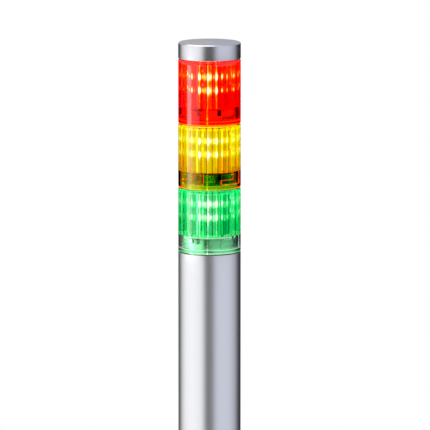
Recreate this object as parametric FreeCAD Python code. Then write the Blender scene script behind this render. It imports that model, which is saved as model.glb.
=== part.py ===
"""Slim three-tier signal tower: a satin tube body, three twist-on lamp modules and a cap.

Units are millimetres. +Z is up, the origin is the centre of the underside, and -Y is the front.
Each module joins the one below it by the same bayonet: a neck with lugs stands inside a skirt whose
wall carries L-shaped ribs. Angles are counted from the front, counter-clockwise seen from above.
"""

import FreeCAD, Part

import math
import os

UP = FreeCAD.Vector(0, 0, 1)
ORIGIN = FreeCAD.Vector(0, 0, 0)
TIERS = ("green", "amber", "red")  # from the bottom up

# Column
outer_diameter = 30.0
tube_length = 146.0
tube_wall = 1.5
lens_length = 30.6  # one module's visible barrel
plug_gap = 0.05  # round parts pushed into a bore

# Base
gasket_thickness = 1.0
gasket_inset = 0.3
flange_thickness = 3.0
base_floor = 5.0  # solid above the flange
base_spigot = 14.0
base_chamfer = 0.4
mount_circle = 19.0  # pitch circle of the threaded inserts
insert_count = 3
insert_width = 4.2  # across the flats
insert_sides = 6
insert_bore = 1.25
insert_length = 5.5
insert_well = 1.0  # room above each insert
grommet_radius = 5.0
grommet_bore = 3.0
grommet_lip = 1.5
grommet_lip_thickness = 1.2

# Bayonet, seen from the module above: slot, then shelf, then stop block, repeated round the skirt
lug_count = 4
slot_start = -12.0
slot_angle = 36.0
shelf_angle = 30.0
lug_angle = 28.0
stop_gap = 0.5  # degrees left between a lug and a wall
lens_wall = 1.4
rib_depth = 0.9
side_gap = 0.2  # between turning round walls
rib_rise = 2.2  # ribs start this far above the skirt's edge
shelf_thickness = 2.6
rib_corner = 0.6  # bevel of the ribs' outline
lock_gap = 0.05
lug_height = 2.0
lug_lead = 0.5  # chamfer that leads the lug over the shelf
collar_gap = 0.2  # between the collar round a neck's foot and the ribs that turn above it
seal_thickness = 0.4
seal_inset = 0.6  # the seal's edge is set back from the barrel
edge_chamfer = 0.35

# Neck and the round boards in it
neck_wall = 1.3
ledge_width = 1.2
ledge_height = 3.0  # above the shoulder
neck_headroom = 0.4
web_thickness = 1.5
board_thickness = 1.0
board_gap = 0.1
pad_width = 2.0
pad_thickness = 0.2
pad_overrun = 0.3  # beyond the spring at both ends of its travel
pad_circle_radius = 7.8

# Lens prisms
prism_count = 30
prism_depth = 0.6
prism_wall = 2.2

# Lamp unit inside a lens
carrier_disc = 1.0
carrier_gap = 0.15
core_width = 11.0  # across the flats
core_sides = 6
core_wall = 1.5
core_head = 13.5  # solid length that takes the screw
strip_width = 5.4
strip_thickness = 1.0
strip_gap = 0.1
led_row_drops = (7.5, 14.0)  # below the shoulder
led_width = 3.0
led_height = 2.8
led_depth = 1.2
spring_board_gap = 0.4
spring_thickness = 0.25
spring_width = 1.4
spring_tab = 1.2  # flat end soldered to the board
spring_reach = 2.2  # radial run of the sloping arm
spring_foot = 0.8  # flat that wipes the pad
spring_toe = 0.6  # upturned end
screw_radius = 1.0
screw_length = 12.0
screw_gap = 0.05
screw_head_radius = 1.9
screw_head_height = 1.2
screw_slot_width = 0.5
screw_slot_depth = 0.6

# Cap
cap_roof = 0.6
cap_chamfer = 0.5
centre_mark_radius = 0.6
centre_mark_depth = 0.2

# Board inside the tube
head_plug_depth = 14.0
control_board_width = 24.0
control_board_thickness = 1.6
board_slot_depth = 4.0
board_slot_gap = 0.1
spigot_wall = 3.4
header_width = 12.0
header_height = 6.0
header_depth = 4.5
bus_pin_width = 0.64
bus_pin_pitch = 2.54
bus_pin_count = 4
chip_width = 5.0
chip_height = 4.0
chip_depth = 1.6
chip_count = 3
chip_pitch = 14.0
chip_drop = 24.0  # first chip below the board's top edge
capacitor_radius = 4.0
capacitor_height = 12.0
capacitor_drop = 40.0
terminal_width = 16.0
terminal_height = 9.0
terminal_depth = 8.0
terminal_rise = 4.0  # above the board's lower edge
terminal_ways = 4
terminal_pitch = 3.6
terminal_entry = 2.2  # side of a square wire entry
terminal_entry_depth = 6.0

# Radii that follow
radius = outer_diameter / 2
tube_bore = radius - tube_wall
plug_radius = tube_bore - plug_gap
skirt_radius = radius - lens_wall
rib_radius = skirt_radius - rib_depth
neck_radius = rib_radius - side_gap
lug_radius = skirt_radius - side_gap
collar_radius = lug_radius
neck_bore = neck_radius - neck_wall
ledge_bore = neck_bore - ledge_width
prism_root_radius = radius - prism_wall
prism_tip_radius = prism_root_radius - prism_depth
carrier_radius = rib_radius - carrier_gap
core_apothem = core_width / 2
spigot_bore = plug_radius - spigot_wall

# Heights that follow
neck_height = seal_thickness + rib_rise + shelf_thickness + lock_gap + lug_height
skirt_depth = neck_height - seal_thickness + neck_headroom + carrier_disc
collar_height = seal_thickness + rib_rise - collar_gap
tier_pitch = seal_thickness + lens_length
cap_height = neck_height - seal_thickness + neck_headroom + cap_roof
flange_top = gasket_thickness + flange_thickness
floor_top = flange_top + base_floor
spigot_top = flange_top + base_spigot
tube_top = flange_top + tube_length
cap_shoulder = tube_top + tier_pitch * len(TIERS)

# Bayonet angles that follow
lug_pitch = 360.0 / lug_count
shelf_start = slot_start + slot_angle
stop_start = shelf_start + shelf_angle
stop_end = slot_start + lug_pitch
lug_end = stop_start - stop_gap
lug_start = lug_end - lug_angle
twist_travel = lug_start - slot_start - stop_gap  # counter-clockwise, from locked to free


def save(name, shape):
    """Writes one node; a list of solids becomes a group."""
    if isinstance(shape, list):
        shape = Part.makeCompound(shape)
    if not shape.isValid():
        raise ValueError(name + " is not a valid solid")
    shape.exportStep("parts/" + name + ".step")


def point(distance, angle, height):
    """A point at a distance from the axis, at an angle from the front."""
    turn = math.radians(angle)
    return FreeCAD.Vector(distance * math.sin(turn), -distance * math.cos(turn), height)


def turned(shape, angle):
    """A copy turned about the tower's axis."""
    copy = shape.copy()
    copy.rotate(ORIGIN, UP, angle)
    return copy


def around(shape, count):
    """Copies of a shape spaced evenly about the tower's axis."""
    return [turned(shape, step * 360.0 / count) for step in range(count)]


def disc(size, low, high):
    """A cylinder on the tower's axis."""
    return Part.makeCylinder(size, high - low, FreeCAD.Vector(0, 0, low), UP)


def ring(outer, inner, low, high):
    """A round tube on the tower's axis."""
    return disc(outer, low, high).cut(disc(inner, low, high))


def post(size, x, y, low, high):
    """An upright cylinder away from the axis."""
    return Part.makeCylinder(size, high - low, FreeCAD.Vector(x, y, low), UP)


def block(width, depth, x, y, low, high):
    """An upright box centred on x and y."""
    corner = FreeCAD.Vector(x - width / 2, y - depth / 2, low)
    return Part.makeBox(width, depth, high - low, corner)


def sector(inner, outer, low, high, start, end):
    """A curved block between two radii and two angles."""
    middle = (start + end) / 2
    outside = Part.Arc(point(outer, start, low), point(outer, middle, low), point(outer, end, low))
    inside = Part.Arc(point(inner, end, low), point(inner, middle, low), point(inner, start, low))
    far_side = Part.makeLine(point(outer, end, low), point(inner, end, low))
    near_side = Part.makeLine(point(inner, start, low), point(outer, start, low))
    outline = Part.Wire([outside.toShape(), far_side, inside.toShape(), near_side])
    return Part.Face(outline).extrude(UP * (high - low))


def prism(corners, low, high):
    """An upright prism through corners given as (distance, angle)."""
    points = [point(distance, angle, low) for distance, angle in corners]
    outline = Part.makePolygon(points + points[:1])
    return Part.Face(outline).extrude(UP * (high - low))


def polygon_prism(apothem, sides, low, high):
    """A regular prism on the axis with a flat towards the front."""
    half = 180.0 / sides
    corner = apothem / math.cos(math.radians(half))
    corners = [(corner, half + step * 2 * half) for step in range(sides)]
    return prism(corners, low, high)


def edges_at(shape, height, size):
    """The round edges at one height and radius."""
    found = []
    for edge in shape.Edges:
        box = edge.BoundBox
        flat = abs(box.ZMin - height) < 1e-6 and abs(box.ZMax - height) < 1e-6
        if flat and edge.Curve.TypeId == "Part::GeomCircle" and abs(edge.Curve.Radius - size) < 1e-6:
            found.append(edge)
    return found


# ---------------------------------------------------------------- bayonet

def radial_edges(shape, angle, height):
    """The straight edges of a shape that point at the axis, at one angle and height."""
    found = []
    for edge in shape.Edges:
        box = edge.BoundBox
        flat = abs(box.ZMin - height) < 1e-6 and abs(box.ZMax - height) < 1e-6
        if flat and edge.Curve.TypeId == "Part::GeomLine":
            middle = edge.valueAt((edge.FirstParameter + edge.LastParameter) / 2)
            distance = math.hypot(middle.x, middle.y)
            if middle.isEqual(point(distance, angle, height), 1e-4):
                found.append(edge)
    return found


def skirt_ribs(foot, roof):
    """The L-shaped ribs inside a skirt: a shelf that runs into a stop block, for each lug."""
    root = (skirt_radius + radius) / 2  # inside the wall, so that rib and wall are one
    low = foot + rib_rise
    high = low + shelf_thickness
    shelf = sector(rib_radius, root, low, high, shelf_start, stop_start)
    stop = sector(rib_radius, root, low, roof, stop_start, stop_end)
    rib = shelf.fuse(stop).removeSplitter()
    corners = radial_edges(rib, shelf_start, low) + radial_edges(rib, shelf_start, high)
    corners += radial_edges(rib, stop_start, high)
    return around(rib.makeChamfer(rib_corner, corners), lug_count)


def neck_lugs(shoulder):
    """The lugs round a neck, locked over the shelves of the skirt above, with a lead-in underneath."""
    root = (neck_bore + neck_radius) / 2  # inside the neck's wall
    top = shoulder + neck_height
    lug = sector(root, lug_radius, top - lug_height, top, lug_start, lug_end)
    low = lug.BoundBox.ZMin
    corners = [FreeCAD.Vector(x, 0, low + z) for x, z in ((0, 0), (0, lug_lead), (-2 * lug_lead, 0), (0, 0))]
    wedge = Part.Face(Part.makePolygon(corners)).extrude(FreeCAD.Vector(0, -2 * lug_radius, 0))
    return around(lug.cut(turned(wedge, lug_end)), lug_count)


def neck(shoulder):
    """A neck with its lugs, the collar that centres the skirt, its bore, and the ledge for a board."""
    top = shoulder + neck_height
    wall = disc(neck_radius, shoulder - web_thickness, top)
    collar = disc(collar_radius, shoulder - web_thickness, shoulder + collar_height)
    wall = wall.fuse([collar] + neck_lugs(shoulder))
    wall = wall.cut(disc(neck_bore, shoulder + ledge_height, top))
    return wall.cut(disc(ledge_bore, shoulder - web_thickness, top))


def seal(shoulder):
    """The flat rubber ring that a skirt's edge presses on."""
    return ring(radius - seal_inset, collar_radius + plug_gap, shoulder, shoulder + seal_thickness)


# ---------------------------------------------------------------- lens and cap

def prism_cavity(low, high):
    """The room inside the lit part of a lens, whose wall is cut into upright prisms."""
    half = 180.0 / prism_count
    corners = []
    for step in range(prism_count):
        corners.append((prism_root_radius, step * 2 * half))
        corners.append((prism_tip_radius, step * 2 * half + half))
    return prism(corners, low, high)


def lens(foot):
    """One moulded lens: ribbed skirt below, prisms in the middle, neck and lugs above."""
    shoulder = foot + lens_length
    barrel = disc(radius, foot, shoulder)
    rims = edges_at(barrel, foot, radius) + edges_at(barrel, shoulder, radius)
    barrel = barrel.makeChamfer(edge_chamfer, rims)
    barrel = barrel.cut(disc(skirt_radius, foot, foot + skirt_depth))
    barrel = barrel.cut(prism_cavity(foot, shoulder - web_thickness))
    barrel = barrel.cut(disc(ledge_bore, foot, shoulder))
    barrel = barrel.fuse(skirt_ribs(foot, foot + skirt_depth))
    return barrel.fuse(neck(shoulder)).removeSplitter()


def top_cap(foot):
    """The plain cap: the same skirt under a flat roof with a small turned mark at its centre."""
    top = foot + cap_height
    shell = disc(radius, foot, top)
    shell = shell.makeChamfer(cap_chamfer, edges_at(shell, top, radius))
    shell = shell.makeChamfer(edge_chamfer, edges_at(shell, foot, radius))
    shell = shell.cut(disc(skirt_radius, foot, top - cap_roof))
    shell = shell.fuse(skirt_ribs(foot, top - cap_roof))
    mark_place = FreeCAD.Vector(0, 0, top - centre_mark_depth)
    mark = Part.makeCone(0, centre_mark_radius, centre_mark_depth, mark_place, UP)
    return shell.cut(mark).removeSplitter()


# ---------------------------------------------------------------- lamp unit

def carrier(foot):
    """The dark carrier: a disc under the prisms and a hexagonal core that holds the board strips."""
    low = foot + skirt_depth - carrier_disc
    top = foot + lens_length + ledge_height
    core = polygon_prism(core_apothem, core_sides, low, top)
    body = disc(carrier_radius, low, low + carrier_disc).fuse(core)
    body = body.cut(polygon_prism(core_apothem - core_wall, core_sides, low, top - core_head))
    body = body.cut(disc(screw_radius + screw_gap, top - core_head, top))
    slot_width = strip_width + 2 * strip_gap
    slot_depth = strip_thickness + strip_gap
    slot = block(slot_width, slot_depth, 0, -core_apothem - slot_depth / 2, low, low + carrier_disc)
    return body.cut(around(slot, core_sides))


def strips(foot):
    """Upright boards on the flats of the core, from the spring board to the contact board."""
    low = foot + skirt_depth - carrier_disc
    top = foot + lens_length + ledge_height
    strip = block(strip_width, strip_thickness, 0, -core_apothem - strip_thickness / 2, low, top)
    return around(strip, core_sides)


def leds(foot):
    """Rows of surface-mount lamps round the core."""
    y = -core_apothem - strip_thickness - led_depth / 2
    lamps = []
    for drop in led_row_drops:
        low = foot + lens_length - drop - led_height / 2
        lamps += around(block(led_width, led_depth, 0, y, low, low + led_height), core_sides)
    return lamps


def spring_board(foot):
    """The round board under the carrier that holds the contact springs."""
    top = foot + skirt_depth - carrier_disc
    return disc(neck_bore - spring_board_gap, top - board_thickness, top)


def contact_springs(foot):
    """Bent leaf springs that press on the pads of the board below, one for each line."""
    high = foot + skirt_depth - carrier_disc - board_thickness
    low = foot - seal_thickness + ledge_height + board_thickness + pad_thickness
    heel = pad_circle_radius - spring_foot / 2
    toe = pad_circle_radius + spring_foot / 2
    bend = heel - spring_reach
    profile = [
        (bend - spring_tab, high),
        (bend - spring_tab, high - spring_thickness),
        (bend, high - spring_thickness),
        (heel, low),
        (toe, low),
        (toe + spring_toe, low + spring_toe),
        (toe + spring_toe - spring_thickness, low + spring_toe + spring_thickness),
        (toe - spring_thickness / 2, low + spring_thickness),
        (heel + spring_thickness / 2, low + spring_thickness),
        (bend + spring_thickness, high),
    ]
    points = [FreeCAD.Vector(-spring_width / 2, -distance, height) for distance, height in profile]
    face = Part.Face(Part.makePolygon(points + points[:1]))
    return around(face.extrude(FreeCAD.Vector(spring_width, 0, 0)), bus_pin_count)


def contact_board(shoulder):
    """The round board that lies on the ledge of a neck."""
    low = shoulder + ledge_height
    return disc(neck_bore - board_gap, low, low + board_thickness)


def screwed_contact_board(shoulder):
    """The same board with a hole for the screw of a lamp unit."""
    low = shoulder + ledge_height
    return contact_board(shoulder).cut(disc(screw_radius + screw_gap, low, low + board_thickness))


def contact_pads(shoulder):
    """Curved pads on the round board, which the springs above wipe along during the twist."""
    low = shoulder + ledge_height + board_thickness
    inner = pad_circle_radius - pad_width / 2
    margin = math.degrees((spring_width / 2 + pad_overrun) / pad_circle_radius)
    pad = sector(inner, inner + pad_width, low, low + pad_thickness, -margin, twist_travel + margin)
    return around(pad, bus_pin_count)


def unit_screw(shoulder):
    """The slotted screw that clamps the board, the lens and the carrier together."""
    seat = shoulder + ledge_height + board_thickness
    head = disc(screw_head_radius, seat, seat + screw_head_height)
    slot_low = seat + screw_head_height - screw_slot_depth
    head = head.cut(block(2 * screw_head_radius, screw_slot_width, 0, 0, slot_low, seat + screw_head_height))
    return head.fuse(disc(screw_radius, seat - screw_length, seat))


# ---------------------------------------------------------------- body

def tube():
    """The plain extruded body."""
    return ring(radius, tube_bore, flange_top, tube_top)


def board_slots(low, high):
    """Two facing slots that take the edges of the control board."""
    width = 2 * plug_radius
    thickness = control_board_thickness + 2 * board_slot_gap
    return block(width, thickness, 0, 0, low, high)


def body_head():
    """The moulded head pushed into the tube: plug below, neck and lugs above."""
    low = tube_top - head_plug_depth
    plug = ring(plug_radius, spigot_bore, low, tube_top)
    plug = plug.cut(board_slots(low, low + board_slot_depth))
    web = ring(plug_radius, ledge_bore, tube_top - web_thickness, tube_top)
    return plug.fuse([web, neck(tube_top)]).removeSplitter()


def at_mount_holes(shape):
    """Copies of a shape made on the axis, moved to the mounting holes."""
    shape = shape.translated(FreeCAD.Vector(0, -mount_circle / 2, 0))
    return around(shape, insert_count)


def base_plug():
    """The moulded base: a flange as wide as the tube, a solid floor and a hollow spigot."""
    low = gasket_thickness
    flange = disc(radius, low, flange_top)
    flange = flange.makeChamfer(base_chamfer, edges_at(flange, low, radius))
    body = flange.fuse(disc(plug_radius, flange_top, spigot_top))
    body = body.cut(disc(spigot_bore, floor_top, spigot_top))
    body = body.cut(disc(grommet_radius, low, floor_top))
    body = body.cut(board_slots(spigot_top - board_slot_depth, spigot_top))
    well = insert_length + insert_well
    return body.cut(at_mount_holes(polygon_prism(insert_width / 2, insert_sides, low, low + well)))


def inserts():
    """Threaded hexagonal inserts that take the mounting screws from below."""
    low = gasket_thickness
    high = low + insert_length
    body = polygon_prism(insert_width / 2 - plug_gap, insert_sides, low, high)
    return at_mount_holes(body.cut(disc(insert_bore, low, high)))


def gasket():
    """The rubber gasket that the tower stands on, cut away below the inserts."""
    pad = ring(radius - gasket_inset, grommet_radius, 0, gasket_thickness)
    return pad.cut(at_mount_holes(polygon_prism(insert_width / 2, insert_sides, 0, gasket_thickness)))


def grommet():
    """The rubber bush that the leads leave through."""
    lip_top = floor_top + grommet_lip_thickness
    lip = disc(grommet_radius + grommet_lip, floor_top, lip_top)
    sleeve = disc(grommet_radius - plug_gap, gasket_thickness, floor_top)
    return lip.fuse(sleeve).cut(disc(grommet_bore, gasket_thickness, lip_top))


board_low = spigot_top - board_slot_depth
board_high = tube_top - head_plug_depth + board_slot_depth
board_front = -control_board_thickness / 2
board_back = control_board_thickness / 2


def control_board():
    """The long board between the slots of the base and the head."""
    return block(control_board_width, control_board_thickness, 0, 0, board_low, board_high)


def header():
    """The housing of the bus pins, on the front of the board at its top edge."""
    y = board_front - header_depth / 2
    return block(header_width, header_depth, 0, y, board_high - header_height, board_high)


def bus_pins():
    """Square pins from the header up to the round board in the head."""
    y = board_front - header_depth / 2
    top = tube_top + ledge_height
    pins = []
    for step in range(bus_pin_count):
        x = (step - (bus_pin_count - 1) / 2) * bus_pin_pitch
        pins.append(block(bus_pin_width, bus_pin_width, x, y, board_high, top))
    return pins


def chips():
    """The lamp drivers."""
    made = []
    for step in range(chip_count):
        top = board_high - chip_drop - step * chip_pitch
        made.append(block(chip_width, chip_depth, 0, board_front - chip_depth / 2, top - chip_height, top))
    return made


def capacitor():
    """The smoothing capacitor, lying on the back of the board."""
    top = board_high - capacitor_drop
    return post(capacitor_radius, 0, board_back + capacitor_radius, top - capacitor_height, top)


def terminal():
    """The terminal block, with wire entries that face the grommet."""
    low = board_low + terminal_rise
    y = board_front - terminal_depth / 2
    body = block(terminal_width, terminal_depth, 0, y, low, low + terminal_height)
    entries = []
    for step in range(terminal_ways):
        x = (step - (terminal_ways - 1) / 2) * terminal_pitch
        entries.append(block(terminal_entry, terminal_entry, x, y, low, low + terminal_entry_depth))
    return body.cut(entries)


# ---------------------------------------------------------------- assembly

def build_body():
    """The fixed part of the tower."""
    save("base_gasket", gasket())
    save("base_plug", base_plug())
    save("threaded_inserts", inserts())
    save("cable_grommet", grommet())
    save("body_tube", tube())
    save("control_board", control_board())
    save("bus_header", header())
    save("bus_pins", bus_pins())
    save("driver_chips", chips())
    save("capacitor", capacitor())
    save("terminal_block", terminal())
    save("body_head", body_head())
    save("body_contact_board", contact_board(tube_top))
    save("body_contact_pads", contact_pads(tube_top))
    save("body_seal", seal(tube_top))


def build_module(colour, shoulder_below):
    """One lamp module and the seal on its own shoulder."""
    foot = shoulder_below + seal_thickness
    shoulder = foot + lens_length
    save(colour + "_lens", lens(foot))
    save(colour + "_led_carrier", carrier(foot))
    save(colour + "_led_strips", strips(foot))
    save(colour + "_leds", leds(foot))
    save(colour + "_spring_board", spring_board(foot))
    save(colour + "_contact_springs", contact_springs(foot))
    save(colour + "_contact_board", screwed_contact_board(shoulder))
    save(colour + "_contact_pads", contact_pads(shoulder))
    save(colour + "_unit_screw", unit_screw(shoulder))
    save(colour + "_seal", seal(shoulder))


os.makedirs("parts", exist_ok=True)
build_body()
for tier, colour in enumerate(TIERS):
    build_module(colour, tube_top + tier * tier_pitch)
save("top_cap", top_cap(cap_shoulder + seal_thickness))
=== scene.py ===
"""Looks of a slim three-tier stack light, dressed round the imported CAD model.

A satin tube carries three lit lamp modules, green, amber and red from the bottom up, under a flat
silver cap. Every module is one clear tinted moulding: a skirt whose ribs hook under the lugs of the
neck below, a barrel cut into upright prisms inside, and a neck of its own.

Objects are placed in metres. The patterns of the finishes are reckoned in millimetres and degrees.
"""

import logging
import math
from collections.abc import Callable
from dataclasses import dataclass
from enum import Enum
from typing import NamedTuple

import bmesh
import bpy
from mathutils import Matrix, Vector

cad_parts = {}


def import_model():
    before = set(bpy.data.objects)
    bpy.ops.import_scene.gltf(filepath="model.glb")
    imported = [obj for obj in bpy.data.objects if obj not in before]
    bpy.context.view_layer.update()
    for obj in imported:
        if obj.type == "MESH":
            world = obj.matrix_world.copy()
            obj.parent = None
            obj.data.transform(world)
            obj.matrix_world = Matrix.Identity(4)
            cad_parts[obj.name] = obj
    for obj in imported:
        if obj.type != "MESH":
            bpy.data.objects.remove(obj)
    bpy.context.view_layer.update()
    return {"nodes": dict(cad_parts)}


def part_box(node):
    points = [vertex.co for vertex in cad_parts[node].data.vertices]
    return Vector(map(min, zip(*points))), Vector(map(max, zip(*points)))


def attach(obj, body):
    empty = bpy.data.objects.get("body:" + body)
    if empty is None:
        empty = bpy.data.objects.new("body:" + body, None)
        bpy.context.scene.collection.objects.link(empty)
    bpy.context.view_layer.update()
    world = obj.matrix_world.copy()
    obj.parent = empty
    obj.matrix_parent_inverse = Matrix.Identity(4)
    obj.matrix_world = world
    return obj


MM = 0.001
DEGREE = math.pi / 180.0
FULL_TURN = 360.0
LOG = logging.getLogger("stack_light")

Colour = tuple[float, float, float]
Range = tuple[float, float]
BLACK: Colour = (0.0, 0.0, 0.0)
WHITE: Colour = (1.0, 1.0, 1.0)


class Tier(Enum):
    """The lamp modules, from the bottom up."""

    GREEN = "green"
    AMBER = "amber"
    RED = "red"


class Fade(Enum):
    """How a step goes from 0 to 1."""

    SHARP = "LINEAR"
    SOFT = "SMOOTHSTEP"


class Path(Enum):
    """How a curve goes from corner to corner."""

    SLOPES = "LINEAR"
    STAIRS = "CONSTANT"


# ---------------------------------------------------------------------------------------- nodes


class Output:
    """What a node gives, ready for a formula."""

    def __init__(self, tree: "Tree", socket: bpy.types.NodeSocket) -> None:
        """Wraps the output socket of a node in a tree."""
        self.tree = tree
        self.socket = socket


def operator(operation: str) -> Callable[..., "Number"]:
    """Makes a method that applies one kind of Math node.

    Args:
        operation: The node's operation.

    Returns:
        The method, which takes the other operands.
    """

    def apply(self: "Number", *others: "Value") -> "Number":
        """The result."""
        return self.tree.maths(operation, self, *others)

    return apply


class Number(Output):
    """A number that varies over a surface."""

    __add__ = __radd__ = operator("ADD")
    __sub__ = operator("SUBTRACT")
    __mul__ = __rmul__ = operator("MULTIPLY")
    __truediv__ = operator("DIVIDE")
    __abs__ = operator("ABSOLUTE")
    floor = operator("FLOOR")
    fraction = operator("FRACT")
    within = operator("FLOORED_MODULO")
    most = operator("MAXIMUM")
    least = operator("MINIMUM")

    def __rsub__(self, other: float) -> "Number":
        """What is left of a plain number."""
        return self.tree.maths("SUBTRACT", other, self)

    def cosine(self) -> "Number":
        """The cosine of an angle in degrees."""
        return self.tree.maths("COSINE", self * DEGREE)

    def step(self, low: float, high: float, fade: Fade = Fade.SOFT) -> "Number":
        """Goes from 0 at one value to 1 at another.

        Args:
            low: Where the result is 0.
            high: Where the result is 1; it may lie below low.
            fade: How it gets there.

        Returns:
            A number from 0 to 1.
        """
        made = self.tree.node("MapRange", interpolation_type=fade.value)
        for socket, number in zip(made.inputs, (self, low, high, 0.0, 1.0)):
            self.tree.put(socket, number)
        return Number(self.tree, made.outputs[0])

    def band(self, low: float, high: float, edge: float) -> "Number":
        """Is 1 between two values and fades to 0 outside them over a short edge."""
        return self.step(low - edge, low) * self.step(high + edge, high)

    def bell(self, centre: float, width: float) -> "Number":
        """A bump of height 1 that falls to 1/e at a width from its centre."""
        offset = (self - centre) / width
        return self.tree.maths("EXPONENT", offset * offset * -1.0)

    def level(self, low: float, high: float) -> "Number":
        """Spreads 0..1 to low..high."""
        return self * (high - low) + low

    def front_and_back(self, low: float, high: float) -> "Number":
        """For an angle: 0 at both sides and 1 at the front and the back, between two cosines."""
        return abs(self.cosine()).step(low, high)


Value = float | Number


class Paint(Output):
    """A colour that varies over a surface and may pass 1."""

    def __add__(self, other: "Paint") -> "Paint":
        """Both lights together."""
        made = self.tree.node("VectorMath", operation="ADD")
        self.tree.put(made.inputs[0], self)
        self.tree.put(made.inputs[1], other)
        return Paint(self.tree, made.outputs[0])


class Polar(NamedTuple):
    """A point as its distance from the tower's axis, its angle and its height.

    Attributes:
        distance: In millimetres.
        turn: In degrees, counter-clockwise from the front.
        height: In millimetres above the ground.
    """

    distance: Number
    turn: Number
    height: Number


class Tree:
    """Writes nodes into a node tree."""

    def __init__(self, tree: bpy.types.NodeTree) -> None:
        """Takes a node tree over."""
        self.tree = tree

    def node(self, kind: str, **settings: object) -> bpy.types.Node:
        """Adds a node.

        Args:
            kind: The node's type name without its ShaderNode prefix.
            settings: Properties to set on it.

        Returns:
            The new node.
        """
        made = self.tree.nodes.new("ShaderNode" + kind)
        for key, value in settings.items():
            setattr(made, key, value)
        return made

    def put(self, socket: bpy.types.NodeSocket, value: object) -> None:
        """Links an input to an output, or sets its value.

        Args:
            socket: The input socket.
            value: An output, a number, a colour or a vector.
        """
        if isinstance(value, Output):
            self.tree.links.new(value.socket, socket)
        elif isinstance(value, tuple) and socket.type == "RGBA":
            socket.default_value = (*value, 1.0)
        else:
            socket.default_value = value

    def maths(self, operation: str, *values: Value) -> Number:
        """Adds a Math node.

        Args:
            operation: The node's operation.
            values: Its operands.

        Returns:
            The result.
        """
        made = self.node("Math", operation=operation)
        for socket, value in zip(made.inputs, values):
            self.put(socket, value)
        return Number(self, made.outputs[0])

    def mix(self, factor: Value, low: Value, high: Value) -> Number:
        """Mixes two numbers.

        Args:
            factor: The share of the second one.
            low: The number at 0.
            high: The number at 1.

        Returns:
            The mixed number.
        """
        made = self.node("Mix", data_type="FLOAT")
        for place, value in ((0, factor), (2, low), (3, high)):
            self.put(made.inputs[place], value)
        return Number(self, made.outputs[0])

    def blend(self, factor: Value, low: Colour | Paint, high: Colour | Paint) -> Paint:
        """Mixes two colours.

        Args:
            factor: The share of the second one.
            low: The colour at 0.
            high: The colour at 1.

        Returns:
            The mixed colour.
        """
        made = self.node("Mix", data_type="RGBA")
        for place, value in ((0, factor), (6, low), (7, high)):
            self.put(made.inputs[place], value)
        return Paint(self, made.outputs[2])

    def paint(self, colour: Colour | Paint, strength: Value) -> Paint:
        """A colour multiplied by a number, which may take it past 1."""
        made = self.node("VectorMath", operation="SCALE")
        self.put(made.inputs[0], colour)
        self.put(made.inputs["Scale"], strength)
        return Paint(self, made.outputs[0])


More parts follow.
